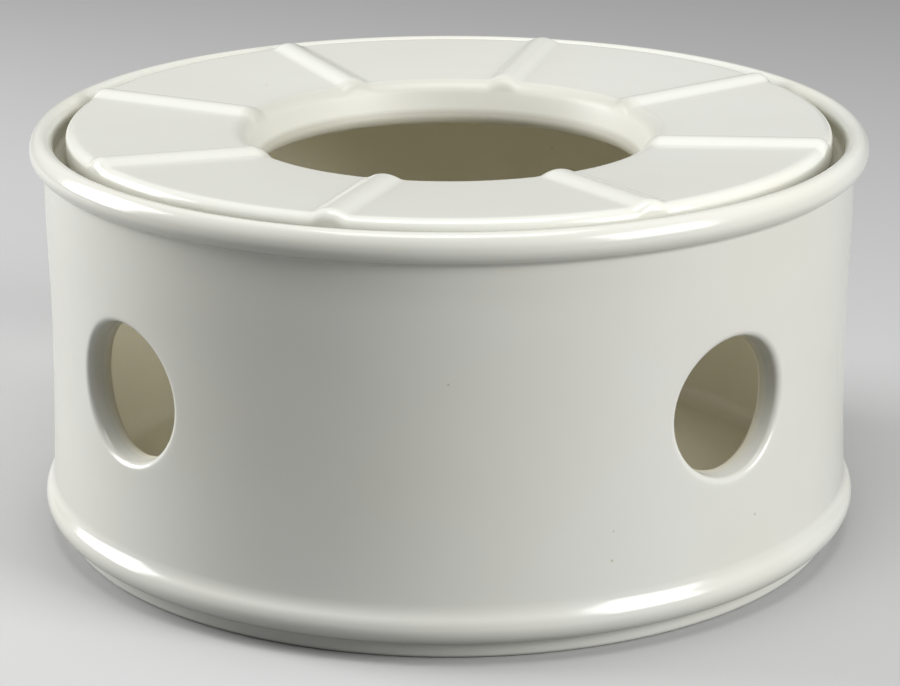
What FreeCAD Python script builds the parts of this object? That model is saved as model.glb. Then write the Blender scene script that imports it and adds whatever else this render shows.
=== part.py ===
import FreeCAD, Part
import math
import os

# A glazed earthenware teapot warmer: a drum that holds a tea light, and a loose ring plate under the pot.
# Millimetres, +Z up. The origin is the centre of the foot, on the surface that the drum stands on.

# Drum, outside
WAIST_DIAMETER = 154.1          # narrowest part of the wall
WAIST_Z = 41.0
WALL_CURVE_RADIUS = 525.0       # hollow curve of the wall's side
WALL_TURN_DROP = 17.75          # from there up to the rim's middle the wall curves the other way
WALL_SHOULDER_RADIUS = 250.0
RIM_OVERHANG = 2.95             # rolled rim, out past the waist
RIM_THICKNESS = 4.5             # rolled rim, from its inner side to its outer side
RIM_MIDDLE_Z = 75.25            # height at which the rolled rim is widest
RIM_RISE = 3.05                 # from there up to its crest
RIM_CROWN_RADIUS = 1.75         # tight curve over the crest
RIM_UNDER_RADIUS = 2.6          # curve from the widest part down to the underside
UNDER_RIM_FILLET = 0.9
BEAD_OVERHANG = 2.5             # round bead above the foot, out past the waist
BEAD_RADIUS = 3.4
BEAD_Z = 6.6
BEAD_FILLET = 4.5
FOOT_INSET = 1.25               # plain foot under the bead, in from the waist
FOOT_EDGE_RADIUS = 0.9
FOOT_GROOVE_FILLET = 0.3

# Drum, inside and underneath
WALL_THICKNESS = 5.0
INNER_CURVE_RADIUS = 1200.0     # hollow curve of the wall's inner side
FLOOR_Z = 4.2                   # top of the drum's floor
COVE_RADIUS = 2.1               # rounded channel where the floor meets the wall
COVE_UNDERCUT = 1.5             # the channel runs this far out behind the wall's inner side
COVE_LIP_RADIUS = 0.5
STANDING_RING_WIDTH = 9.5       # flat ring that the drum stands on
STANDING_RING_EDGE_RADIUS = 0.6
UNDERSIDE_RECESS = 1.0          # the middle of the underside stands clear by this much
RECESS_SLOPE_WIDTH = 1.5

# Seat for the plate
SEAT_DEPTH = 2.05               # ledge that the plate rests on, below the rim's middle
LEDGE_REACH = 1.65              # how far the ledge stands in from the waist's inside
LEDGE_THICKNESS = 3.0
LEDGE_SLOPE_HEIGHT = 2.8
LEDGE_EDGE_RADIUS = 0.7
SEAT_CORNER_FILLET = 0.8

# Side holes
SIDE_HOLES = 4
SIDE_HOLE_Z = 41.0
SIDE_HOLE_INNER_RADIUS = 13.3
SIDE_HOLE_OUTER_RADIUS = 13.9
SIDE_HOLE_OUTER_ROUNDING = 1.3
SIDE_HOLE_INNER_ROUNDING = 0.7

# Plate
PLATE_GAP = 2.4                 # between the plate's edge and the rim's inner side
PLATE_EDGE_HEIGHT = 6.85        # from the seat to the top of the plate's outer edge
PLATE_EDGE_RADIUS = 1.95
PLATE_LOWER_EDGE_RADIUS = 0.7
DISH_SLOPE = 0.0876             # the plate's top falls by this much for each millimetre inwards
PLATE_THICKNESS = 4.3
THROAT_DIAMETER = 72.0          # narrowest part of the throat, at its bottom
THROAT_FLARE = 2.9              # the throat widens to each side by this much up to the plate's top
SHOULDER_RADIUS = 3.6
COLLAR_DROP = 4.6               # how far the collar hangs below the seat
COLLAR_THICKNESS = 4.2
COLLAR_FLARE = 1.6              # the collar's outside widens by this much up to the plate
COLLAR_LIP_RADIUS = 1.6
COLLAR_ROOT_RADIUS = 2.0
RING_CLEARANCE = 0.8            # between the locating ring and the ledge
RING_WIDTH = 4.6
RING_DROP = 3.2
RING_EDGE_RADIUS = 0.9

# Ribs on the plate
RIBS = 8
RIB_TURN = -12.2                # degrees from the -Y side hole, positive towards +X
RIB_RADIUS = 9.0                # radius of the rib's round back
RIB_HEIGHT_AT_THROAT = 1.1
RIB_HEIGHT_AT_EDGE = 0.3
RIB_FOOT_FILLET = 4.5
RIB_OVERRUN = 3.5               # the ribs are made this much too long and then trimmed

AXIS = FreeCAD.Vector(0, 0, 1)
CENTRE = FreeCAD.Vector(0, 0, 0)
TOUCH = 0.02                    # edges this near to a place lie on it

# Sizes that follow from the ones above
waist_radius = WAIST_DIAMETER / 2
rim_outer_radius = waist_radius + RIM_OVERHANG
rim_inner_radius = rim_outer_radius - RIM_THICKNESS
foot_radius = waist_radius - FOOT_INSET
inner_waist_radius = waist_radius - WALL_THICKNESS
ledge_radius = inner_waist_radius - LEDGE_REACH
seat_z = RIM_MIDDLE_Z - SEAT_DEPTH
plate_radius = rim_inner_radius - PLATE_GAP
plate_top_z = seat_z + PLATE_EDGE_HEIGHT
throat_bottom_radius = THROAT_DIAMETER / 2
throat_top_radius = throat_bottom_radius + THROAT_FLARE


def point(r, z):
    return FreeCAD.Vector(r, 0, z)


def line(start, end):
    return Part.LineSegment(start, end).toShape()


def towards(centre, spot, distance):
    """Point at a distance from a centre, on the way to a spot."""
    return centre + (spot - centre).normalize() * distance


def arc(centre, start, end):
    """Arc of less than half a turn round a centre."""
    middle = towards(centre, (start + end) / 2, (start - centre).Length)
    return Part.Arc(start, middle, end).toShape()


def on_circle(centre, radius, r, side):
    """Point of a circle at distance r from the drum's axis, above (1) or below (-1) the circle's centre."""
    return point(r, centre.z + side * math.sqrt(radius ** 2 - (r - centre.x) ** 2))


def hollow_spot(centre, radius, z):
    """Point at a height on the near side of a large circle that is centred outside the drum."""
    return point(centre.x - math.sqrt(radius ** 2 - (z - centre.z) ** 2), z)


def crossing(first, first_radius, second, second_radius):
    """Crossing of two circles that lies on the left on the way from the first centre to the second."""
    way = second - first
    gap = way.Length
    way.normalize()
    along = (first_radius ** 2 - second_radius ** 2 + gap ** 2) / (2 * gap)
    aside = math.sqrt(first_radius ** 2 - along ** 2)
    return first + way * along + point(-way.z, way.x) * aside


def corner(back, here, ahead, radius):
    """Arc that rounds the corner between two straight sides."""
    back_way = (back - here).normalize()
    ahead_way = (ahead - here).normalize()
    half_angle = back_way.getAngle(ahead_way) / 2
    tangent = radius / math.tan(half_angle)
    middle = here + (back_way + ahead_way).normalize() * (radius / math.sin(half_angle) - radius)
    return Part.Arc(here + back_way * tangent, middle, here + ahead_way * tangent).toShape()


def ends(piece):
    """First and last point of a piece of an outline, which is a point or an arc."""
    if isinstance(piece, FreeCAD.Vector):
        return piece, piece
    return piece.valueAt(piece.FirstParameter), piece.valueAt(piece.LastParameter)


def turned(pieces):
    """Solid turned from a closed outline of points and arcs, with straight sides between those that part."""
    edges = [piece for piece in pieces if not isinstance(piece, FreeCAD.Vector)]
    for piece, following in zip(pieces, pieces[1:] + pieces[:1]):
        end = ends(piece)[1]
        start = ends(following)[0]
        if (start - end).Length > TOUCH:
            edges.append(line(end, start))
    face = Part.Face(Part.Wire(Part.__sortEdges__(edges)))
    return face.revolve(CENTRE, AXIS, 360)


def rounded(corners):
    """Outline through (r, z, radius) corners, each rounded by its own radius."""
    pieces = []
    for index, (r, z, radius) in enumerate(corners):
        here = point(r, z)
        back = point(*corners[index - 1][:2])
        ahead = point(*corners[(index + 1) % len(corners)][:2])
        pieces.append(corner(back, here, ahead, radius) if radius > 0 else here)
    return pieces


# Drum

def outside():
    """Outline of the drum's outer side, from the top of the foot to the inner side of the rim."""
    bead_middle = point(waist_radius + BEAD_OVERHANG - BEAD_RADIUS, BEAD_Z)
    groove_reach = BEAD_RADIUS + FOOT_GROOVE_FILLET
    groove_middle = on_circle(bead_middle, groove_reach, foot_radius + FOOT_GROOVE_FILLET, -1)
    groove_top = towards(bead_middle, groove_middle, BEAD_RADIUS)
    groove_bottom = point(foot_radius, groove_middle.z)

    wall_middle = point(waist_radius + WALL_CURVE_RADIUS, WAIST_Z)
    wall_reach = WALL_CURVE_RADIUS - BEAD_FILLET
    fillet_middle = crossing(bead_middle, BEAD_RADIUS + BEAD_FILLET, wall_middle, wall_reach)
    bead_top = towards(bead_middle, fillet_middle, BEAD_RADIUS)
    wall_bottom = towards(wall_middle, fillet_middle, WALL_CURVE_RADIUS)
    wall_turn = hollow_spot(wall_middle, WALL_CURVE_RADIUS, RIM_MIDDLE_Z - WALL_TURN_DROP)
    shoulder_middle = towards(wall_turn, wall_middle, -WALL_SHOULDER_RADIUS)

    rim_side = point(rim_outer_radius, RIM_MIDDLE_Z)
    under_middle = rim_side - point(RIM_UNDER_RADIUS, 0)
    under_reach = RIM_UNDER_RADIUS + UNDER_RIM_FILLET
    shoulder_reach = WALL_SHOULDER_RADIUS + UNDER_RIM_FILLET
    under_fillet_middle = crossing(under_middle, under_reach, shoulder_middle, shoulder_reach)
    wall_top = towards(shoulder_middle, under_fillet_middle, WALL_SHOULDER_RADIUS)
    rim_under = towards(under_middle, under_fillet_middle, RIM_UNDER_RADIUS)

    # The rim's section is half an oval: a flat curve on each side runs into the tight crown.
    half = RIM_THICKNESS / 2
    side_radius = half ** 2 + RIM_RISE ** 2 - 2 * RIM_RISE * RIM_CROWN_RADIUS
    side_radius = side_radius / (2 * (half - RIM_CROWN_RADIUS))
    crown_middle = point(rim_outer_radius - half, RIM_MIDDLE_Z + RIM_RISE - RIM_CROWN_RADIUS)
    outer_middle = point(rim_outer_radius - side_radius, RIM_MIDDLE_Z)
    inner_middle = point(rim_inner_radius + side_radius, RIM_MIDDLE_Z)
    crown_outside = towards(outer_middle, crown_middle, side_radius)
    crown_inside = towards(inner_middle, crown_middle, side_radius)

    return [
        arc(groove_middle, groove_bottom, groove_top),
        Part.Arc(groove_top, bead_middle + point(BEAD_RADIUS, 0), bead_top).toShape(),
        arc(fillet_middle, bead_top, wall_bottom),
        arc(wall_middle, wall_bottom, wall_turn),
        arc(shoulder_middle, wall_turn, wall_top),
        arc(under_fillet_middle, wall_top, rim_under),
        arc(under_middle, rim_under, rim_side),
        arc(outer_middle, rim_side, crown_outside),
        arc(crown_middle, crown_outside, crown_inside),
        arc(inner_middle, crown_inside, point(rim_inner_radius, RIM_MIDDLE_Z)),
    ]


def inside():
    """Outline of the drum's inner side, from the seat down to the floor."""
    seat_corner = point(rim_inner_radius, seat_z)
    ledge_top = point(ledge_radius, seat_z)
    ledge_bottom = ledge_top - point(0, LEDGE_THICKNESS)
    wall_middle = point(inner_waist_radius + INNER_CURVE_RADIUS, WAIST_Z)
    wall_top = hollow_spot(wall_middle, INNER_CURVE_RADIUS, ledge_bottom.z - LEDGE_SLOPE_HEIGHT)

    inner_foot_radius = hollow_spot(wall_middle, INNER_CURVE_RADIUS, FLOOR_Z).x
    cove_middle = point(inner_foot_radius + COVE_UNDERCUT - COVE_RADIUS, FLOOR_Z + COVE_RADIUS)
    lip_reach = COVE_RADIUS + COVE_LIP_RADIUS
    lip_middle = crossing(cove_middle, lip_reach, wall_middle, INNER_CURVE_RADIUS - COVE_LIP_RADIUS)
    lip_top = towards(wall_middle, lip_middle, INNER_CURVE_RADIUS)
    lip_bottom = towards(cove_middle, lip_middle, COVE_RADIUS)
    floor_edge = cove_middle - point(0, COVE_RADIUS)

    return [
        corner(seat_corner + AXIS, seat_corner, ledge_top, SEAT_CORNER_FILLET),
        corner(seat_corner, ledge_top, ledge_bottom, LEDGE_EDGE_RADIUS),
        corner(ledge_top, ledge_bottom, wall_top, LEDGE_EDGE_RADIUS),
        arc(wall_middle, wall_top, lip_top),
        arc(lip_middle, lip_top, lip_bottom),
        Part.Arc(lip_bottom, cove_middle + point(COVE_RADIUS, 0), floor_edge).toShape(),
        point(0, FLOOR_Z),
    ]


def underside():
    """Outline of the drum's underside, from its middle to the foot's outer edge."""
    foot_edge = point(foot_radius, 0)
    ring_inside = foot_edge - point(STANDING_RING_WIDTH, 0)
    recess_edge = ring_inside + point(-RECESS_SLOPE_WIDTH, UNDERSIDE_RECESS)
    return [
        point(0, UNDERSIDE_RECESS),
        recess_edge,
        corner(recess_edge, ring_inside, foot_edge, STANDING_RING_EDGE_RADIUS),
        corner(ring_inside, foot_edge, foot_edge + AXIS, FOOT_EDGE_RADIUS),
    ]


def side_hole_edges(shape, direction, outside):
    """Edges where a side hole breaks through the wall, on its outer or its inner face."""
    wall_middle = inner_waist_radius + WALL_THICKNESS / 2
    found = []
    for edge in shape.Edges:
        middle = edge.BoundBox.Center - AXIS * SIDE_HOLE_Z
        along = middle.dot(direction)
        across = (middle - direction * along).Length
        of_hole = across < SIDE_HOLE_INNER_RADIUS and edge.BoundBox.ZLength < 3 * SIDE_HOLE_OUTER_RADIUS
        if of_hole and along > wall_middle - 2 * WALL_THICKNESS and (along > wall_middle) == outside:
            found.append(edge)
    return found


def drum():
    shape = turned(underside() + outside() + inside())
    # The seam of the turned faces goes between two side holes.
    shape.rotate(CENTRE, AXIS, 180 / SIDE_HOLES)
    flare = (SIDE_HOLE_OUTER_RADIUS - SIDE_HOLE_INNER_RADIUS) / WALL_THICKNESS
    overrun = 2 * WALL_THICKNESS
    small_radius = SIDE_HOLE_INNER_RADIUS - flare * overrun
    large_radius = SIDE_HOLE_OUTER_RADIUS + flare * overrun
    for hole in range(SIDE_HOLES):
        angle = math.radians(hole * 360 / SIDE_HOLES)
        direction = FreeCAD.Vector(math.cos(angle), math.sin(angle), 0)
        start = direction * (inner_waist_radius - overrun) + AXIS * SIDE_HOLE_Z
        cutter = Part.makeCone(small_radius, large_radius, WALL_THICKNESS + 2 * overrun, start, direction)
        shape = shape.cut(cutter)
        shape = shape.makeFillet(SIDE_HOLE_OUTER_ROUNDING, side_hole_edges(shape, direction, True))
        shape = shape.makeFillet(SIDE_HOLE_INNER_ROUNDING, side_hole_edges(shape, direction, False))
    return shape


# Plate

collar_bottom_z = seat_z - COLLAR_DROP
dish_edge = point(plate_radius - PLATE_EDGE_RADIUS, plate_top_z)


def dish_z(r):
    """Height of the plate's dished top between the ribs."""
    return dish_edge.z - (dish_edge.x - r) * DISH_SLOPE


def throat_radius(z):
    """Radius of the tapered throat at a height."""
    taper = (throat_top_radius - throat_bottom_radius) / (dish_z(throat_top_radius) - collar_bottom_z)
    return throat_bottom_radius + (z - collar_bottom_z) * taper


def turned_outline():
    """The plate's turned sides and underside. Its top is left open, past the ribs."""
    above = plate_top_z + RIB_OVERRUN
    collar_outside = throat_bottom_radius + COLLAR_THICKNESS
    collar_root = collar_outside + COLLAR_FLARE
    ring_outside = ledge_radius - RING_CLEARANCE
    ring_inside = ring_outside - RING_WIDTH
    return turned(rounded([
        (plate_radius, seat_z, PLATE_LOWER_EDGE_RADIUS),
        (plate_radius, above, 0),
        (throat_radius(above), above, 0),
        (throat_bottom_radius, collar_bottom_z, COLLAR_LIP_RADIUS),
        (collar_outside, collar_bottom_z, COLLAR_LIP_RADIUS),
        (collar_root, dish_z(collar_root) - PLATE_THICKNESS, COLLAR_ROOT_RADIUS),
        (ring_inside, dish_z(ring_inside) - PLATE_THICKNESS, RING_EDGE_RADIUS),
        (ring_inside, seat_z - RING_DROP, RING_EDGE_RADIUS),
        (ring_outside, seat_z - RING_DROP, RING_EDGE_RADIUS),
        (ring_outside, seat_z, 0),
    ]))


def ribbed_slab():
    """A thick ring, wider both ways than the plate, whose dished top carries the ribs on soft feet."""
    inner_end = throat_bottom_radius - RIB_OVERRUN
    outer_end = plate_radius + RIB_OVERRUN
    bottom = collar_bottom_z - RIB_OVERRUN
    above = plate_top_z + RIB_OVERRUN
    base = [point(inner_end, bottom), point(outer_end, bottom)]
    slab = turned(base + [point(outer_end, dish_z(outer_end)), point(inner_end, dish_z(inner_end))])
    zone = turned(base + [point(outer_end, above), point(inner_end, above)])

    crest_inner = point(throat_top_radius, dish_z(throat_top_radius) + RIB_HEIGHT_AT_THROAT)
    crest_outer = dish_edge + point(0, RIB_HEIGHT_AT_EDGE)
    run = (crest_outer - crest_inner).normalize()
    inward = point(run.z, -run.x)
    spare = 2 * (RIB_RADIUS + RIB_OVERRUN)
    start = crest_inner + inward * RIB_RADIUS - run * spare
    length = (crest_outer - crest_inner).Length + 2 * spare
    back = Part.makeCylinder(RIB_RADIUS, length, start, run).common(zone)
    ribs = []
    for number in range(RIBS):
        rib = back.copy()
        rib.rotate(CENTRE, AXIS, RIB_TURN - 90 + number * 360 / RIBS)
        ribs.append(rib)
    slab = slab.fuse(ribs).removeSplitter().Solids[0]

    feet = []
    for edge in slab.Edges:
        reach = sorted(math.hypot(vertex.X, vertex.Y) for vertex in edge.Vertexes)
        full_length = abs(reach[0] - inner_end) < TOUCH and abs(reach[-1] - outer_end) < TOUCH
        on_top = edge.BoundBox.ZMin > seat_z
        if full_length and on_top and not isinstance(edge.Curve, Part.Line):
            feet.append(edge)
    return slab.makeFillet(RIB_FOOT_FILLET, feet)


def wavy_edges(shape, radius_at, low, high):
    """Edges between two heights that follow a turned side over the ribs and between them."""
    found = []
    for edge in shape.Edges:
        span = edge.LastParameter - edge.FirstParameter
        spots = [edge.valueAt(edge.FirstParameter + span * share) for share in (0, 0.25, 0.5, 0.75, 1)]
        if all(abs(math.hypot(s.x, s.y) - radius_at(s.z)) < TOUCH and low < s.z < high for s in spots):
            found.append(edge)
    return found


def plate():
    shape = ribbed_slab().common(turned_outline()).removeSplitter().Solids[0]
    edge_low = dish_z(plate_radius) - TOUCH
    outer = wavy_edges(shape, lambda z: plate_radius, edge_low, edge_low + RIB_HEIGHT_AT_THROAT)
    shape = shape.makeFillet(PLATE_EDGE_RADIUS, outer)
    throat_low = dish_z(throat_top_radius) - TOUCH
    inner = wavy_edges(shape, throat_radius, throat_low, throat_low + 2 * RIB_HEIGHT_AT_THROAT)
    return shape.makeFillet(SHOULDER_RADIUS, inner)


os.makedirs("parts", exist_ok=True)
drum().exportStep("parts/warmer_body.step")
plate().exportStep("parts/top_plate.step")
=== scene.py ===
import cmath
import math

import bpy
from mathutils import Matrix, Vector


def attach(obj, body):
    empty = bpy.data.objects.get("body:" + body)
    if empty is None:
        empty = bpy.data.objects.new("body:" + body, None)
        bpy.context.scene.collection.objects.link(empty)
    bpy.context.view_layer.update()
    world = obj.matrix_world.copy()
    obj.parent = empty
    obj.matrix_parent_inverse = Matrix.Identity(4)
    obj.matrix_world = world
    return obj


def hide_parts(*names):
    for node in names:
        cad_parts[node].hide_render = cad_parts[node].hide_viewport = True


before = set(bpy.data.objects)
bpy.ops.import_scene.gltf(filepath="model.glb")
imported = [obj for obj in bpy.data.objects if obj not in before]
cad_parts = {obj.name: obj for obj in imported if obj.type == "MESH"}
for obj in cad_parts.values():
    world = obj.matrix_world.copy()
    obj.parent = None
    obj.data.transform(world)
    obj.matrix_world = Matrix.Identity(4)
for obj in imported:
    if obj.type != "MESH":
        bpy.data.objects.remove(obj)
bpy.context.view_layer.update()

# Teapot warmer in glossy ivory glaze. Sizes are in millimetres and become metres when a mesh is made.
# A point of a turned section is a complex number: its distance from the axis, and its height.
MM = 0.001

# Drum
RIM_MIDDLE = 75.25
RIM_RISE = 3.05
RIM_HALF = 2.25
RIM_OUTSIDE = 80.0
RIM_INSIDE = 75.5
RIM_CROWN = 1.75
RIM_UNDER = 2.6
UNDER_RIM_FILLET = 0.9
WAIST = 77.05
WAIST_Z = 41.0
WALL_CURVE = 525.0
WALL_TURN_Z = 57.5
WALL_SHOULDER = 250.0
INNER_WAIST = 72.05
INNER_CURVE = 1200.0
BEAD = complex(76.15, 6.6)
BEAD_RADIUS = 3.4
BEAD_FILLET = 4.5
FOOT = 75.8
FOOT_ROUNDING = 0.9
STANDING_RING = 9.5
RECESS_DEPTH = 1.0
RECESS_RUN = 1.5
RECESS_ROUNDING = 0.6
GROOVE_FILLET = 0.3
FLOOR_Z = 4.2
COVE_RADIUS = 3.6
SEAT_Z = 73.2
SEAT_ROUNDING = 0.8
LEDGE = 70.4
LEDGE_THICKNESS = 3.0
LEDGE_ROUNDING = 0.7
LEDGE_FOOT_Z = 67.4

# Side holes
HOLES = 4
HOLE_Z = 40.5
HOLE_RADIUS = 12.5
HOLE_FLARE = 0.12
HOLE_OUTER_ROUNDING = 1.3
HOLE_INNER_ROUNDING = 0.7

# Rows and steps of the drum's mesh. A square patch of the wall round each hole has its own.
TURN_STEPS = 360
PATCH_LOW = 21.0
PATCH_HIGH = 61.0
PATCH_STEPS = 30
PATCH_RINGS = 8
MOUTH_STEPS = 8
BORE_RINGS = 5

# Plate
PLATE_RADIUS = 73.1
PLATE_TOP = 79.0
PLATE_EDGE = 1.95
DISH_SLOPE = 0.0558
PLATE_THICKNESS = 4.3
THROAT_TOP = 38.9
THROAT_BOTTOM = 36.0
COLLAR_Z = 68.6
COLLAR_WIDTH = 4.2
COLLAR_FLARE = 1.6
COLLAR_ROUNDING = 1.6
COLLAR_ROOT = 2.0
RING_GAP = 0.8
RING_DEPTH = 3.2
RING_WIDTH = 4.6
RING_ROUNDING = 0.9
LOWER_EDGE_ROUNDING = 0.7
SHOULDER = 3.6
RIBS = 8
RIB_TURN = -12.2
RIB_BACK = 5.0
RIB_FOOT = 3.2
RIB_AT_THROAT = 1.1
RIB_AT_EDGE = 1.0
PLATE_STEPS = 800
TOP_ROWS = 26

SHARP_ANGLE = 34


# Turned sections

def arc(centre, start, end, steps):
    """Points of the shorter arc round a centre, both ends included."""
    turn = cmath.phase((end - centre) / (start - centre))
    return [centre + (start - centre) * cmath.exp(1j * turn * k / steps) for k in range(steps + 1)]


def straight(start, end, steps):
    return [start + (end - start) * k / steps for k in range(steps + 1)]


def towards(centre, spot, distance):
    return centre + (spot - centre) / abs(spot - centre) * distance


def crossing(first, first_radius, second, second_radius):
    """Crossing of two circles, on the left on the way from the first centre to the second."""
    gap = abs(second - first)
    way = (second - first) / gap
    along = (first_radius ** 2 - second_radius ** 2 + gap ** 2) / (2 * gap)
    return first + way * along + 1j * way * math.sqrt(first_radius ** 2 - along ** 2)


def corner(back, here, ahead, radius, steps):
    """Rounded corner between two straight sides."""
    one = (back - here) / abs(back - here)
    two = (ahead - here) / abs(ahead - here)
    half = abs(cmath.phase(one / two)) / 2
    reach = radius / math.tan(half)
    middle = here + (one + two) / abs(one + two) * radius / math.sin(half)
    return arc(middle, here + one * reach, here + two * reach, steps)


def joined(*runs):
    """One line of points from several runs, without the points that two runs share."""
    points = []
    for run in runs:
        for spot in run:
            if not points or abs(spot - points[-1]) > 0.001:
                points.append(spot)
    return points


wall_middle = complex(WAIST + WALL_CURVE, WAIST_Z)
inner_middle = complex(INNER_WAIST + INNER_CURVE, WAIST_Z)


def hollow(centre, radius, z):
    return complex(centre.real - math.sqrt(radius ** 2 - (z - centre.imag) ** 2), z)


wall_turn = hollow(wall_middle, WALL_CURVE, WALL_TURN_Z)
shoulder_middle = towards(wall_turn, wall_middle, -WALL_SHOULDER)


def outer_wall(z):
    """Radius of the wall's outer side at a height."""
    if z <= WALL_TURN_Z:
        return hollow(wall_middle, WALL_CURVE, z).real
    return shoulder_middle.real + math.sqrt(WALL_SHOULDER ** 2 - (z - shoulder_middle.imag) ** 2)


def inner_wall(z):
    return hollow(inner_middle, INNER_CURVE, z).real


def wall_line(radius_at, low, high, steps):
    return [complex(radius_at(z), z) for z in (low + (high - low) * k / steps for k in range(steps + 1))]


def drum_sections():
    """The drum's section in five lines: foot, outer wall by the holes, rim, inner wall there, and floor."""
    ring_inside = complex(FOOT - STANDING_RING, 0)
    recess_edge = ring_inside + complex(-RECESS_RUN, RECESS_DEPTH)
    foot_edge = complex(FOOT, 0)
    groove = FOOT + GROOVE_FILLET
    groove_z = BEAD.imag - math.sqrt((BEAD_RADIUS + GROOVE_FILLET) ** 2 - (groove - BEAD.real) ** 2)
    groove_middle = complex(groove, groove_z)
    bead_fillet = crossing(BEAD, BEAD_RADIUS + BEAD_FILLET, wall_middle, WALL_CURVE - BEAD_FILLET)
    bead_top = towards(BEAD, bead_fillet, BEAD_RADIUS)
    wall_bottom = towards(wall_middle, bead_fillet, WALL_CURVE)

    rim_side = complex(RIM_OUTSIDE, RIM_MIDDLE)
    under = rim_side - RIM_UNDER
    under_fillet = crossing(
        under, RIM_UNDER + UNDER_RIM_FILLET, shoulder_middle, WALL_SHOULDER + UNDER_RIM_FILLET
    )
    wall_top = towards(shoulder_middle, under_fillet, WALL_SHOULDER)
    rim_under = towards(under, under_fillet, RIM_UNDER)
    side = (RIM_HALF ** 2 + RIM_RISE ** 2 - 2 * RIM_RISE * RIM_CROWN) / (2 * (RIM_HALF - RIM_CROWN))
    crown = complex(RIM_OUTSIDE - RIM_HALF, RIM_MIDDLE + RIM_RISE - RIM_CROWN)
    outer_side = complex(RIM_OUTSIDE - side, RIM_MIDDLE)
    inner_side = complex(RIM_INSIDE + side, RIM_MIDDLE)
    crown_outside = towards(outer_side, crown, side)
    crown_inside = towards(inner_side, crown, side)
    rim_back = complex(RIM_INSIDE, RIM_MIDDLE)

    seat_corner = complex(RIM_INSIDE, SEAT_Z)
    ledge_top = complex(LEDGE, SEAT_Z)
    ledge_bottom = ledge_top - 1j * LEDGE_THICKNESS
    inner_top = complex(inner_wall(LEDGE_FOOT_Z), LEDGE_FOOT_Z)
    cove = hollow(inner_middle, INNER_CURVE + COVE_RADIUS, FLOOR_Z + COVE_RADIUS)
    cove_top = towards(inner_middle, cove, INNER_CURVE)
    floor_edge = cove - 1j * COVE_RADIUS

    foot = joined(
        straight(1j * RECESS_DEPTH, recess_edge, 4)[1:],
        corner(recess_edge, ring_inside, foot_edge, RECESS_ROUNDING, 4),
        corner(ring_inside, foot_edge, foot_edge + 1j, FOOT_ROUNDING, 8),
        straight(foot_edge + 1j * FOOT_ROUNDING, complex(FOOT, groove_z), 3),
        arc(groove_middle, complex(FOOT, groove_z), towards(BEAD, groove_middle, BEAD_RADIUS), 6),
        arc(BEAD, towards(BEAD, groove_middle, BEAD_RADIUS), bead_top, 22),
        arc(bead_fillet, bead_top, wall_bottom, 10),
        wall_line(outer_wall, wall_bottom.imag, PATCH_LOW, 4),
    )
    rim = joined(
        wall_line(outer_wall, PATCH_HIGH, wall_top.imag, 4),
        arc(under_fillet, wall_top, rim_under, 8),
        arc(under, rim_under, rim_side, 14),
        arc(outer_side, rim_side, crown_outside, 10),
        arc(crown, crown_outside, crown_inside, 16),
        arc(inner_side, crown_inside, rim_back, 10),
        corner(rim_back, seat_corner, ledge_top, SEAT_ROUNDING, 6),
        straight(seat_corner - SEAT_ROUNDING, ledge_top + LEDGE_ROUNDING, 3),
        corner(seat_corner, ledge_top, ledge_bottom, LEDGE_ROUNDING, 6),
        corner(ledge_top, ledge_bottom, inner_top, LEDGE_ROUNDING, 4),
        wall_line(inner_wall, LEDGE_FOOT_Z, PATCH_HIGH, 4),
    )
    floor = joined(
        wall_line(inner_wall, PATCH_LOW, cove_top.imag, 4),
        arc(cove, cove_top, floor_edge, 14),
        straight(floor_edge, 1j * FLOOR_Z, 6)[:-1],
    )
    beside_out = wall_line(outer_wall, PATCH_LOW, PATCH_HIGH, PATCH_STEPS)
    beside_in = wall_line(inner_wall, PATCH_HIGH, PATCH_LOW, PATCH_STEPS)
    return foot, beside_out, rim, beside_in, floor


# Meshes

def on_axis(spot, angle):
    """Point of a turned section at an angle round the axis, in metres."""
    return (spot.real * math.cos(angle) * MM, spot.real * math.sin(angle) * MM, spot.imag * MM)


def new_piece(name, vertices, faces, material):
    mesh = bpy.data.meshes.new(name)
    mesh.from_pydata(vertices, [], faces)
    mesh.validate()
    mesh.polygons.foreach_set("use_smooth", [True] * len(mesh.polygons))
    mesh.set_sharp_from_angle(angle=math.radians(SHARP_ANGLE))
    mesh.materials.append(material)
    piece = bpy.data.objects.new(name, mesh)
    bpy.context.scene.collection.objects.link(piece)
    return piece


def hole_wall_spot(radius_at, across, phi):
    """Point of the wall beside a hole that opens along X: at a distance from the hole's axis, at an angle."""
    y = across * math.cos(phi)
    z = HOLE_Z + across * math.sin(phi)
    return Vector((math.sqrt(radius_at(z) ** 2 - y ** 2), y, z))


def rounded_mouth(radius_at, rounding, inwards, phi, steps):
    """Points from the wall round the edge into the hole, at one angle round the hole's axis."""
    # The flare makes the hole's radius depend on how far out the wall lies there, so a few turns settle both.
    across = HOLE_RADIUS
    for _ in range(6):
        x = hole_wall_spot(radius_at, across, phi).x
        across = HOLE_RADIUS + HOLE_FLARE * (x - INNER_WAIST)
    edge = Vector((across, x))
    nearby = 0.1
    slope = hole_wall_spot(radius_at, across + nearby, phi).x - x
    wall_way = Vector((nearby, slope)).normalized()
    tube_way = Vector((HOLE_FLARE, 1)).normalized() * (-1 if inwards else 1)
    half = wall_way.angle(tube_way) / 2
    reach = rounding / math.tan(half)
    start = edge + wall_way * reach
    start.y = hole_wall_spot(radius_at, start.x, phi).x
    end = edge + tube_way * reach
    weight = math.sin(half)
    points = []
    for k in range(steps + 1):
        t = k / steps
        shares = ((1 - t) ** 2, 2 * weight * t * (1 - t), t ** 2)
        spot = (start * shares[0] + edge * shares[1] + end * shares[2]) / sum(shares)
        points.append(Vector((spot.y, spot.x * math.cos(phi), HOLE_Z + spot.x * math.sin(phi))))
    return points


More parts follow.
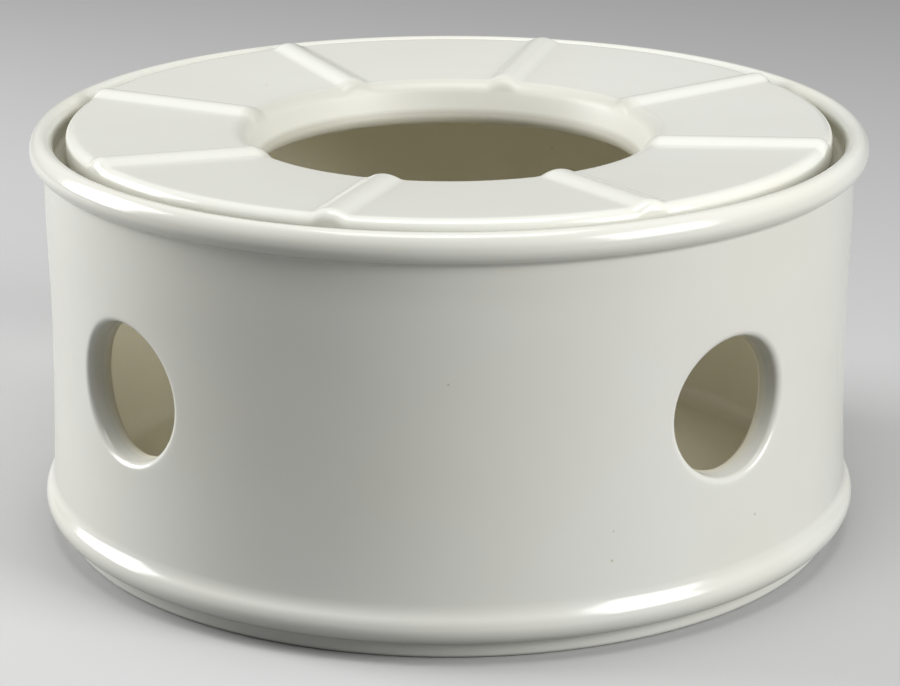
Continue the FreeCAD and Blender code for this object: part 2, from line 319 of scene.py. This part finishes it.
def make_drum(material):
    foot, beside_out, rim, beside_in, floor = drum_sections()
    section = foot[:-1] + beside_out + rim[1:-1] + beside_in + floor[1:]
    out_start = len(foot) - 1
    in_start = out_start + len(beside_out) + len(rim) - 2
    step = 2 * math.pi / TURN_STEPS
    vertices = [on_axis(spot, step * turn) for spot in section for turn in range(TURN_STEPS)]
    per_hole = TURN_STEPS // HOLES
    half_width = PATCH_STEPS // 2

    def at(row, turn):
        return row * TURN_STEPS + turn % TURN_STEPS

    def in_patch(row, turn):
        beside = out_start <= row < out_start + PATCH_STEPS or in_start <= row < in_start + PATCH_STEPS
        return beside and (turn + half_width) % per_hole < PATCH_STEPS

    faces = []
    for row in range(len(section) - 1):
        for turn in range(TURN_STEPS):
            if not in_patch(row, turn):
                faces.append((at(row, turn), at(row, turn + 1), at(row + 1, turn + 1), at(row + 1, turn)))
    for row, z in ((0, RECESS_DEPTH), (len(section) - 1, FLOOR_Z)):
        vertices.append((0, 0, z * MM))
        centre = len(vertices) - 1
        for turn in range(TURN_STEPS):
            rim_pair = (at(row, turn + 1), at(row, turn))
            faces.append((centre, *(rim_pair if row == 0 else rim_pair[::-1])))

    # Way round a patch's square edge, as (row step, turn step)
    side = PATCH_STEPS
    square = [(0, k) for k in range(side)] + [(k, side) for k in range(side)]
    square += [(side, side - k) for k in range(side)] + [(side - k, 0) for k in range(side)]

    def ring_vertices(points, turned_by):
        first = len(vertices)
        for spot in points:
            x = spot.x * math.cos(turned_by) - spot.y * math.sin(turned_by)
            y = spot.x * math.sin(turned_by) + spot.y * math.cos(turned_by)
            vertices.append((x * MM, y * MM, spot.z * MM))
        return list(range(first, len(vertices)))

    for hole in range(HOLES):
        turned_by = 2 * math.pi * hole / HOLES
        first_turn = hole * per_hole - half_width
        walls = (
            (out_start, outer_wall, HOLE_OUTER_ROUNDING, True),
            (in_start, inner_wall, HOLE_INNER_ROUNDING, False),
        )
        mouths = []
        for start_row, radius_at, rounding, inwards in walls:
            loops = []
            loops.append([at(start_row + row, first_turn + turn) for row, turn in square])
            edge = []
            for row, turn in square:
                angle = (turn - half_width) * step
                edge.append((angle, section[start_row + row].imag))
            phis = [math.atan2(z - HOLE_Z, radius_at(z) * math.sin(angle)) for angle, z in edge]
            mouth = [rounded_mouth(radius_at, rounding, inwards, phi, MOUTH_STEPS) for phi in phis]
            for ring in range(1, PATCH_RINGS):
                share = ring / PATCH_RINGS
                points = []
                for (angle, z), line in zip(edge, mouth):
                    near_angle = math.atan2(line[0].y, line[0].x)
                    spot_angle = angle + (near_angle - angle) * share
                    spot_z = z + (line[0].z - z) * share
                    radius = radius_at(spot_z)
                    y = radius * math.sin(spot_angle)
                    points.append(Vector((radius * math.cos(spot_angle), y, spot_z)))
                loops.append(ring_vertices(points, turned_by))
            for place in range(len(mouth[0])):
                loops.append(ring_vertices([line[place] for line in mouth], turned_by))
            for loop, following in zip(loops, loops[1:]):
                for k in range(len(loop)):
                    after = (k + 1) % len(loop)
                    faces.append((loop[after], following[after], following[k], loop[k]))
            mouths.append((loops[-1], [line[-1] for line in mouth], phis))

        # The hole's own wall joins the two mouths, each taken in order round the hole.
        (outer_loop, outer_spots, outer_phis), (inner_loop, inner_spots, inner_phis) = mouths
        order = sorted(range(len(outer_loop)), key=lambda k: outer_phis[k])
        other = sorted(range(len(inner_loop)), key=lambda k: inner_phis[k])
        loops = [[outer_loop[k] for k in order]]
        for ring in range(1, BORE_RINGS):
            share = ring / BORE_RINGS
            points = [outer_spots[a].lerp(inner_spots[b], share) for a, b in zip(order, other)]
            loops.append(ring_vertices(points, turned_by))
        loops.append([inner_loop[k] for k in other])
        for loop, following in zip(loops, loops[1:]):
            for k in range(len(loop)):
                after = (k + 1) % len(loop)
                faces.append((loop[k], loop[after], following[after], following[k]))
    return new_piece("glazed_drum", vertices, faces, material)


def rib_height(r, angle):
    """How far a rib stands above the dished top at a place on the plate."""
    turn = math.radians(RIB_TURN - 90)
    spacing = 2 * math.pi / RIBS
    off = (angle - turn + spacing / 2) % spacing - spacing / 2
    if abs(off) > spacing / 3:
        return 0.0
    across = abs(r * math.sin(off))
    along = r * math.cos(off)
    share = (along - THROAT_TOP) / (PLATE_RADIUS - PLATE_EDGE - THROAT_TOP)
    height = RIB_AT_THROAT + (RIB_AT_EDGE - RIB_AT_THROAT) * share
    both = RIB_BACK + RIB_FOOT
    reach = math.sqrt(both ** 2 - (both - height) ** 2)
    if across >= reach:
        return 0.0
    if across < reach * RIB_BACK / both:
        return height - RIB_BACK + math.sqrt(RIB_BACK ** 2 - across ** 2)
    return RIB_FOOT - math.sqrt(RIB_FOOT ** 2 - (reach - across) ** 2)


def dish_z(r):
    return PLATE_TOP - (PLATE_RADIUS - PLATE_EDGE - r) * DISH_SLOPE


def top_z(r, angle):
    return dish_z(r) + rib_height(r, angle)


def throat_radius(z):
    taper = (THROAT_TOP - THROAT_BOTTOM) / (dish_z(THROAT_TOP) - COLLAR_Z)
    return THROAT_BOTTOM + (z - COLLAR_Z) * taper


def plate_section(angle):
    """Section of the plate at an angle round the axis, with the ribs' height in its top."""
    seat_edge = complex(PLATE_RADIUS, SEAT_Z)
    ring_out = complex(LEDGE - RING_GAP, SEAT_Z)
    ring_low = ring_out - 1j * RING_DEPTH
    ring_in_low = ring_low - RING_WIDTH
    ring_in = complex(ring_in_low.real, dish_z(ring_in_low.real) - PLATE_THICKNESS)
    collar_out = complex(THROAT_BOTTOM + COLLAR_WIDTH, COLLAR_Z)
    root_radius = collar_out.real + COLLAR_FLARE
    root = complex(root_radius, dish_z(root_radius) - PLATE_THICKNESS)
    collar_in = complex(THROAT_BOTTOM, COLLAR_Z)

    edge_z = top_z(PLATE_RADIUS - PLATE_EDGE, angle)
    edge_tip = complex(PLATE_RADIUS, edge_z + PLATE_EDGE * DISH_SLOPE)
    outer_edge = corner(seat_edge, edge_tip, edge_tip - complex(1, DISH_SLOPE), PLATE_EDGE, 14)

    # The throat's side and the top meet above the shoulder, higher up where a rib runs over it.
    lift = rib_height(THROAT_TOP, angle)
    tip_z = dish_z(THROAT_TOP) + lift
    tip = complex(throat_radius(tip_z), tip_z)
    slope = (top_z(tip.real + SHOULDER, angle) - top_z(tip.real, angle)) / SHOULDER
    shoulder = corner(tip + complex(1, slope), tip, collar_in, SHOULDER, 18)

    top_start = outer_edge[-1]
    top_end = shoulder[0]
    top = []
    for k in range(1, TOP_ROWS):
        r = top_start.real + (top_end.real - top_start.real) * k / TOP_ROWS
        top.append(complex(r, top_z(r, angle)))
    # Over its outer tenth and its inner sixth, the top moves to meet the ends of the edge and the shoulder.
    near = top_start.imag - top_z(top_start.real, angle)
    far = top_end.imag - top_z(top_end.real, angle)
    for k in range(len(top)):
        share = (k + 1) / TOP_ROWS
        lift_here = near * max(0.0, 1 - share * 10) + far * max(0.0, share * 6 - 5)
        top[k] += 1j * lift_here

    return joined(
        corner(ring_out, seat_edge, edge_tip, LOWER_EDGE_ROUNDING, 5),
        straight(complex(PLATE_RADIUS, SEAT_Z + LOWER_EDGE_ROUNDING), outer_edge[0], 4),
        outer_edge,
        top,
        shoulder,
        straight(shoulder[-1], towards(collar_in, tip, COLLAR_ROUNDING), 4)[:-1],
        corner(tip, collar_in, collar_out, COLLAR_ROUNDING, 8),
        corner(collar_in, collar_out, root, COLLAR_ROUNDING, 8),
        corner(collar_out, root, ring_in, COLLAR_ROOT, 6),
        straight(root + COLLAR_ROOT, ring_in - RING_ROUNDING, 5)[1:-1],
        corner(root, ring_in, ring_in_low, RING_ROUNDING, 5),
        corner(ring_in, ring_in_low, ring_low, RING_ROUNDING, 5),
        corner(ring_in_low, ring_low, ring_out, RING_ROUNDING, 5),
        [ring_out],
    )


def make_plate(material):
    step = 2 * math.pi / PLATE_STEPS
    sections = [plate_section(step * turn) for turn in range(PLATE_STEPS)]
    rows = len(sections[0])
    vertices = []
    for turn, section in enumerate(sections):
        vertices += [on_axis(spot, step * turn) for spot in section]
    faces = []
    for turn in range(PLATE_STEPS):
        following = (turn + 1) % PLATE_STEPS
        for row in range(rows):
            after = (row + 1) % rows
            faces.append(
                (turn * rows + row, following * rows + row, following * rows + after, turn * rows + after)
            )
    return new_piece("glazed_plate", vertices, faces, material)


# Materials

SPECK_COLOUR = (0.52, 0.48, 0.38)
SPECK_SCALE = 160
SPECK_SHARE = 0.1
SPECK_EDGE = (0.015, 0.055)
CLOUD_EDGES = (0.38, 0.68)

# Where the painted shade in the seat's gap comes in and goes out, from the seat's height, and where it ends,
# from the rim's inner side
SEAT_SHADE_STARTS = (-2.0, -1.0)
SEAT_SHADE_ENDS = (2.0, 4.4)
SEAT_SHADE_EDGE = (0.1, 0.5)

# Roughness of the clean glaze, from its clearest to its cloudiest, and what smoke adds
CLEAN_ROUGHNESS = (0.13, 0.21)
SMOKE_ROUGHNESS = 0.34


def new_shading(name):
    """Material, its node tree, and the sockets of its shader."""
    material = bpy.data.materials.new(name)
    material.use_nodes = True
    tree = material.node_tree
    return material, tree, tree.nodes["Principled BSDF"].inputs


def put(tree, socket, value):
    """Links an output to a socket, or sets a number or a colour on it."""
    if isinstance(value, bpy.types.NodeSocket):
        tree.links.new(value, socket)
    elif isinstance(value, tuple):
        socket.default_value = (*value, 1)
    else:
        socket.default_value = value


def mapped(tree, value, low, high, at_low, at_high):
    """Value carried from one range to another, and held at both ends."""
    node = tree.nodes.new("ShaderNodeMapRange")
    ends = (("From Min", low), ("From Max", high), ("To Min", at_low), ("To Max", at_high))
    for end, number in ends:
        node.inputs[end].default_value = number
    tree.links.new(value, node.inputs["Value"])
    return node.outputs["Result"]


def maths(tree, operation, first, second):
    node = tree.nodes.new("ShaderNodeMath")
    node.operation = operation
    put(tree, node.inputs[0], first)
    put(tree, node.inputs[1], second)
    return node.outputs["Value"]


def mixed(tree, share, first, second):
    """Two colours mixed. The share is the second one's."""
    node = tree.nodes.new("ShaderNodeMix")
    node.data_type = "RGBA"
    put(tree, node.inputs["Factor"], share)
    put(tree, node.inputs["A"], first)
    put(tree, node.inputs["B"], second)
    return node.outputs["Result"]


def noise(tree, place, scale, detail):
    node = tree.nodes.new("ShaderNodeTexNoise")
    node.inputs["Scale"].default_value = scale
    node.inputs["Detail"].default_value = detail
    tree.links.new(place, node.inputs["Vector"])
    return node.outputs["Fac"]


def cloudy(tree, clouds, base, tint):
    """Colour that drifts from the base to the tint with the clouds."""
    ramp = tree.nodes.new("ShaderNodeValToRGB")
    for element, place, colour in zip(ramp.color_ramp.elements, CLOUD_EDGES, (base, tint)):
        element.position = place
        element.color = (*colour, 1)
    tree.links.new(clouds, ramp.inputs["Fac"])
    return ramp.outputs["Color"]


def distance_from_axis(tree, place):
    flat = tree.nodes.new("ShaderNodeVectorMath")
    flat.operation = "MULTIPLY"
    flat.inputs[1].default_value = (1, 1, 0)
    tree.links.new(place, flat.inputs[0])
    length = tree.nodes.new("ShaderNodeVectorMath")
    length.operation = "LENGTH"
    tree.links.new(flat.outputs["Vector"], length.inputs[0])
    return length.outputs["Value"]


def few_specks(tree, place):
    """Share of speck colour: a small part of the pattern's cells has a dot at the middle."""
    cells = tree.nodes.new("ShaderNodeTexVoronoi")
    cells.inputs["Scale"].default_value = SPECK_SCALE
    tree.links.new(place, cells.inputs["Vector"])
    dot = mapped(tree, cells.outputs["Distance"], *SPECK_EDGE, 1, 0)
    split = tree.nodes.new("ShaderNodeSeparateColor")
    tree.links.new(cells.outputs["Color"], split.inputs["Color"])
    chosen = maths(tree, "GREATER_THAN", split.outputs["Red"], 1 - SPECK_SHARE)
    return maths(tree, "MULTIPLY", dot, chosen)


def seat_gap_shade(tree, place, radius):
    """Share of painted shade: it lies in the corner round the seat, in the gap between the plate and the rim,
    and fades out towards the rim's top.
    """
    height = tree.nodes.new("ShaderNodeSeparateXYZ")
    tree.links.new(place, height.inputs["Vector"])
    starts = [(SEAT_Z + above) * MM for above in SEAT_SHADE_STARTS]
    ends = [(SEAT_Z + above) * MM for above in SEAT_SHADE_ENDS]
    edge = [(RIM_INSIDE + past) * MM for past in SEAT_SHADE_EDGE]
    above = mapped(tree, height.outputs["Z"], *starts, 0, 1)
    below = mapped(tree, height.outputs["Z"], *ends, 1, 0)
    within = mapped(tree, radius, *edge, 1, 0)
    return maths(tree, "MULTIPLY", maths(tree, "MULTIPLY", above, below), within)


def glaze(name, base, tint, inner_tone_and_shade, seat_shade, inner_colour_within, plain_beyond):
    """Glossy ivory glaze: cloudy warm tint, a few specks in the clay, and the faint waves of a fired surface.
    Near the axis, where smoke and heat reach it, it is duller and takes the inner colour: a warmer tint on
    the drum, and a darker one on the plate, which is painted shade in its throat. The two distances say where
    that fades. On and round the plate's seat it is darker: painted shade in the gap between the plate and the
    rim."""
    material, tree, sockets = new_shading(name)
    place = tree.nodes.new("ShaderNodeTexCoord").outputs["Object"]
    clouds = noise(tree, place, scale=22, detail=3)
    radius = distance_from_axis(tree, place)
    outside = mapped(tree, radius, inner_colour_within * MM, plain_beyond * MM, 0, 1)

    # Near the axis the inner colour takes over: a warmer tint on the drum, and on the plate painted shade in
    # its throat.
    colour = mixed(tree, outside, inner_tone_and_shade, cloudy(tree, clouds, base, tint))
    colour = mixed(tree, few_specks(tree, place), colour, SPECK_COLOUR)
    # Painted shade in the gap between the plate's seat and the rim.
    colour = mixed(tree, seat_gap_shade(tree, place, radius), colour, seat_shade)
    put(tree, sockets["Base Color"], colour)

    bump = tree.nodes.new("ShaderNodeBump")
    bump.inputs["Strength"].default_value = 0.25
    bump.inputs["Distance"].default_value = 0.0002
    tree.links.new(noise(tree, place, scale=55, detail=2), bump.inputs["Height"])
    put(tree, sockets["Normal"], bump.outputs["Normal"])

    clean = mapped(tree, clouds, 0, 1, *CLEAN_ROUGHNESS)
    smoke = mapped(tree, outside, 0, 1, SMOKE_ROUGHNESS, 0)
    put(tree, sockets["Roughness"], maths(tree, "ADD", clean, smoke))
    sockets["IOR"].default_value = 1.52
    return material


drum_glaze = glaze(
    "drum_glaze",
    base=(0.77, 0.775, 0.72),
    tint=(0.75, 0.745, 0.67),
    inner_tone_and_shade=(0.79, 0.75, 0.60),
    # Painted shade in the gap round the plate's seat.
    seat_shade=(0.44, 0.42, 0.33),
    inner_colour_within=72.7,
    plain_beyond=74.5,
)
plate_glaze = glaze(
    "plate_glaze",
    base=(0.79, 0.795, 0.74),
    tint=(0.77, 0.77, 0.70),
    # The plate's darker inner colour is painted shade in its throat.
    inner_tone_and_shade=(0.52, 0.505, 0.43),
    # Painted shade in the gap round the plate's seat.
    seat_shade=(0.70, 0.70, 0.63),
    inner_colour_within=37.6,
    plain_beyond=42.0,
)

drum = make_drum(drum_glaze)
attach(drum, "root")
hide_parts("warmer_body")

plate = make_plate(plate_glaze)
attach(plate, "root")
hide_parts("top_plate")


# Floor, light and camera

def pale_floor(seen, bounced):
    """Matt floor of one grey as it is seen and mirrored, and a darker one for the light it throws back."""
    material, tree, sockets = new_shading("pale_floor")
    rays = tree.nodes.new("ShaderNodeLightPath").outputs
    is_seen = maths(tree, "MAXIMUM", rays["Is Camera Ray"], rays["Is Glossy Ray"])
    is_seen = maths(tree, "MAXIMUM", is_seen, rays["Is Transmission Ray"])
    colour = mixed(tree, is_seen, (bounced, bounced, bounced), (seen, seen, seen))
    put(tree, sockets["Base Color"], colour)
    sockets["Roughness"].default_value = 0.7
    sockets["Specular IOR Level"].default_value = 0.0
    return material


FLOOR_SIZE = 8.0
floor_mesh = bpy.data.meshes.new("floor")
half = FLOOR_SIZE / 2
floor_mesh.from_pydata(
    [(-half, -half, 0), (half, -half, 0), (half, half, 0), (-half, half, 0)], [], [(0, 1, 2, 3)]
)
floor_mesh.materials.append(pale_floor(seen=0.54, bounced=0.19))
floor = bpy.data.objects.new("floor", floor_mesh)
bpy.context.scene.collection.objects.link(floor)

CAMERA_AZIMUTH = -40.8
CAMERA_DISTANCE = 0.54299
CAMERA_HEIGHT = 0.2113
CAMERA_PITCH = 18.128
CAMERA_YAW = -0.02              # the drum's axis lies one pixel left of the picture's middle
LAMP_AIM = Vector((0, 0, 0.04))


def round_about(azimuth, distance, height):
    """Point round the drum. Azimuth counts from the camera's own, positive to the camera's right."""
    turn = math.radians(CAMERA_AZIMUTH + azimuth)
    return Vector((math.sin(turn) * distance, -math.cos(turn) * distance, height))


def soft_light(name, azimuth, distance, height, width, tall, power):
    """Rectangular lamp that faces the drum. The sizes are in metres, the power in watts."""
    lamp = bpy.data.lights.new(name, "AREA")
    lamp.shape = "RECTANGLE"
    lamp.size = width
    lamp.size_y = tall
    lamp.energy = power
    light = bpy.data.objects.new(name, lamp)
    light.location = round_about(azimuth, distance, height)
    light.rotation_mode = "QUATERNION"
    light.rotation_quaternion = (LAMP_AIM - light.location).to_track_quat("-Z", "Y")
    bpy.context.scene.collection.objects.link(light)


soft_light("right_box", azimuth=56, distance=0.75, height=0.38, width=0.40, tall=0.42, power=5.1)
soft_light("left_box", azimuth=-103, distance=0.70, height=0.30, width=0.38, tall=0.48, power=5.6)
soft_light("top_box", azimuth=0, distance=0.12, height=0.85, width=0.60, tall=0.45, power=3.9)

world = bpy.data.worlds.new("studio")
bpy.context.scene.world = world
world.use_nodes = True
world.node_tree.nodes["Background"].inputs["Color"].default_value = (1, 1, 1, 1)
world.node_tree.nodes["Background"].inputs["Strength"].default_value = 0.12

camera_data = bpy.data.cameras.new("camera")
camera_data.sensor_width = 36
camera_data.lens = 116.19
camera = bpy.data.objects.new("camera", camera_data)
camera.location = round_about(0, CAMERA_DISTANCE, CAMERA_HEIGHT)
camera.rotation_euler = (math.radians(90 - CAMERA_PITCH), 0, math.radians(CAMERA_AZIMUTH + CAMERA_YAW))
bpy.context.scene.collection.objects.link(camera)
bpy.context.scene.camera = camera
bpy.context.scene.view_settings.view_transform = "Standard"
